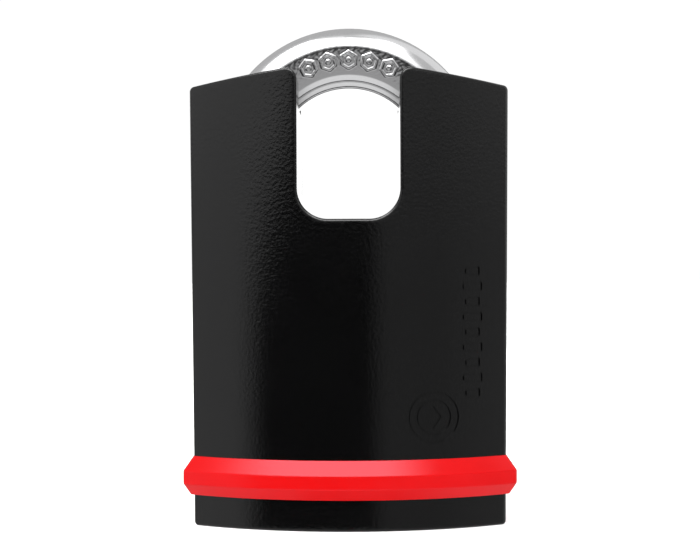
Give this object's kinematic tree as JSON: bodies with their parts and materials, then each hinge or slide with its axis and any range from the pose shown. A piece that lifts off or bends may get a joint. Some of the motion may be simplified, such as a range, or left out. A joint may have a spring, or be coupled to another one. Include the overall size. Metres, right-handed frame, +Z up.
{
  "type": "padlock",
  "caption": "Closed-shackle padlock with a black lens-section steel body, guarding shoulders, a thick steel shackle, a red rubber bumper band and a keyed cylinder underneath.",
  "frame": {"origin": "middle of the bottom face of the body", "axes": "+Z up along the shackle legs, +X to the right across the width, the front face looks to -Y"},
  "size_m": [0.0676, 0.0404, 0.1019],
  "materials": {
    "body": "black powder coat with a fine orange peel over hardened steel",
    "shackle": "satin chrome plated boron steel",
    "bumper_band": "smooth red rubber, slight sheen",
    "plate": "black coated hardened steel",
    "screws": "zinc plated",
    "housing": "machined brass",
    "plug": "machined brass",
    "hard_steel": "ground hardened steel",
    "driver_pins": "turned steel",
    "balls": "polished bearing steel",
    "springs": "drawn spring wire"
  },
  "bodies": {
    "case": {"body": "body", "bumper_band": "bumper_band", "bottom_plate": "plate", "plate_screws": "screws", "cylinder_housing": "housing", "anti_drill_pins": "hard_steel", "cylinder_screw": "screws", "spacer_sleeve": "hard_steel", "bearing_plate": "hard_steel", "cam_spring": "springs", "ejector_spring": "springs", "pin_spring_1": "springs", "pin_spring_2": "springs", "pin_spring_3": "springs", "pin_spring_4": "springs", "pin_spring_5": "springs", "chamber_cap_1": "housing", "chamber_cap_2": "housing", "chamber_cap_3": "housing", "chamber_cap_4": "housing", "chamber_cap_5": "housing"},
    "shackle": {"shackle": "shackle"},
    "plug": {"cylinder_plug": "plug", "plug_face_plate": "hard_steel", "plug_clip": "hard_steel", "tailpiece": "hard_steel", "locking_cam": "hard_steel"},
    "ball_left": {"ball_left": "balls"},
    "ball_right": {"ball_right": "balls"},
    "ejector": {"ejector_plunger": "hard_steel"},
    "driver_1": {"driver_pin_1": "driver_pins"},
    "key_pin_1": {"key_pin_1": "plug"},
    "driver_2": {"driver_pin_2": "driver_pins"},
    "key_pin_2": {"key_pin_2": "plug"},
    "driver_3": {"driver_pin_3": "driver_pins"},
    "key_pin_3": {"key_pin_3": "plug"},
    "driver_4": {"driver_pin_4": "driver_pins"},
    "key_pin_4": {"key_pin_4": "plug"},
    "driver_5": {"driver_pin_5": "driver_pins"},
    "key_pin_5": {"key_pin_5": "plug"}
  },
  "joints": [
    {"name": "shackle_lift", "type": "slide", "parent": "case", "child": "shackle", "axis": [0, 0, 1], "range_m": [0, 0.055]},
    {"name": "key_turn", "type": "hinge", "parent": "case", "child": "plug", "pos_m": [0, 0, 0.02], "axis": [0, 0, 1], "range_deg": [0, 90], "deforming": ["cam_spring"]},
    {"name": "ball_left_slide", "type": "slide", "parent": "case", "child": "ball_left", "axis": [-1, 0, 0], "range_m": [0, 0.0029]},
    {"name": "ball_right_slide", "type": "slide", "parent": "case", "child": "ball_right", "axis": [1, 0, 0], "range_m": [0, 0.0029]},
    {"name": "ejector_lift", "type": "slide", "parent": "case", "child": "ejector", "axis": [0, 0, 1], "range_m": [0, 0.0038], "deforming": ["ejector_spring"]},
    {"name": "driver_1_slide", "type": "slide", "parent": "case", "child": "driver_1", "axis": [0, 1, 0], "range_m": [-0.0021, 0], "deforming": ["pin_spring_1"]},
    {"name": "key_pin_1_slide", "type": "slide", "parent": "plug", "child": "key_pin_1", "axis": [0, 1, 0], "range_m": [-0.0021, 0]},
    {"name": "driver_2_slide", "type": "slide", "parent": "case", "child": "driver_2", "axis": [0, 1, 0], "range_m": [-0.0016, 0], "deforming": ["pin_spring_2"]},
    {"name": "key_pin_2_slide", "type": "slide", "parent": "plug", "child": "key_pin_2", "axis": [0, 1, 0], "range_m": [-0.0016, 0]},
    {"name": "driver_3_slide", "type": "slide", "parent": "case", "child": "driver_3", "axis": [0, 1, 0], "range_m": [-0.0019, 0], "deforming": ["pin_spring_3"]},
    {"name": "key_pin_3_slide", "type": "slide", "parent": "plug", "child": "key_pin_3", "axis": [0, 1, 0], "range_m": [-0.0019, 0]},
    {"name": "driver_4_slide", "type": "slide", "parent": "case", "child": "driver_4", "axis": [0, 1, 0], "range_m": [-0.0014, 0], "deforming": ["pin_spring_4"]},
    {"name": "key_pin_4_slide", "type": "slide", "parent": "plug", "child": "key_pin_4", "axis": [0, 1, 0], "range_m": [-0.0014, 0]},
    {"name": "driver_5_slide", "type": "slide", "parent": "case", "child": "driver_5", "axis": [0, 1, 0], "range_m": [-0.0022, 0], "deforming": ["pin_spring_5"]},
    {"name": "key_pin_5_slide", "type": "slide", "parent": "plug", "child": "key_pin_5", "axis": [0, 1, 0], "range_m": [-0.0022, 0]}
  ],
  "couplings": [
    {"joint": "ball_left_slide", "follows": "key_turn", "m_per_rad": 0.001846},
    {"joint": "ball_right_slide", "follows": "key_turn", "m_per_rad": 0.001846},
    {"joint": "ejector_lift", "follows": "shackle_lift", "ratio": 0.069},
    {"joint": "key_pin_1_slide", "follows": "driver_1_slide", "ratio": 1},
    {"joint": "key_pin_2_slide", "follows": "driver_2_slide", "ratio": 1},
    {"joint": "key_pin_3_slide", "follows": "driver_3_slide", "ratio": 1},
    {"joint": "key_pin_4_slide", "follows": "driver_4_slide", "ratio": 1},
    {"joint": "key_pin_5_slide", "follows": "driver_5_slide", "ratio": 1}
  ]
}
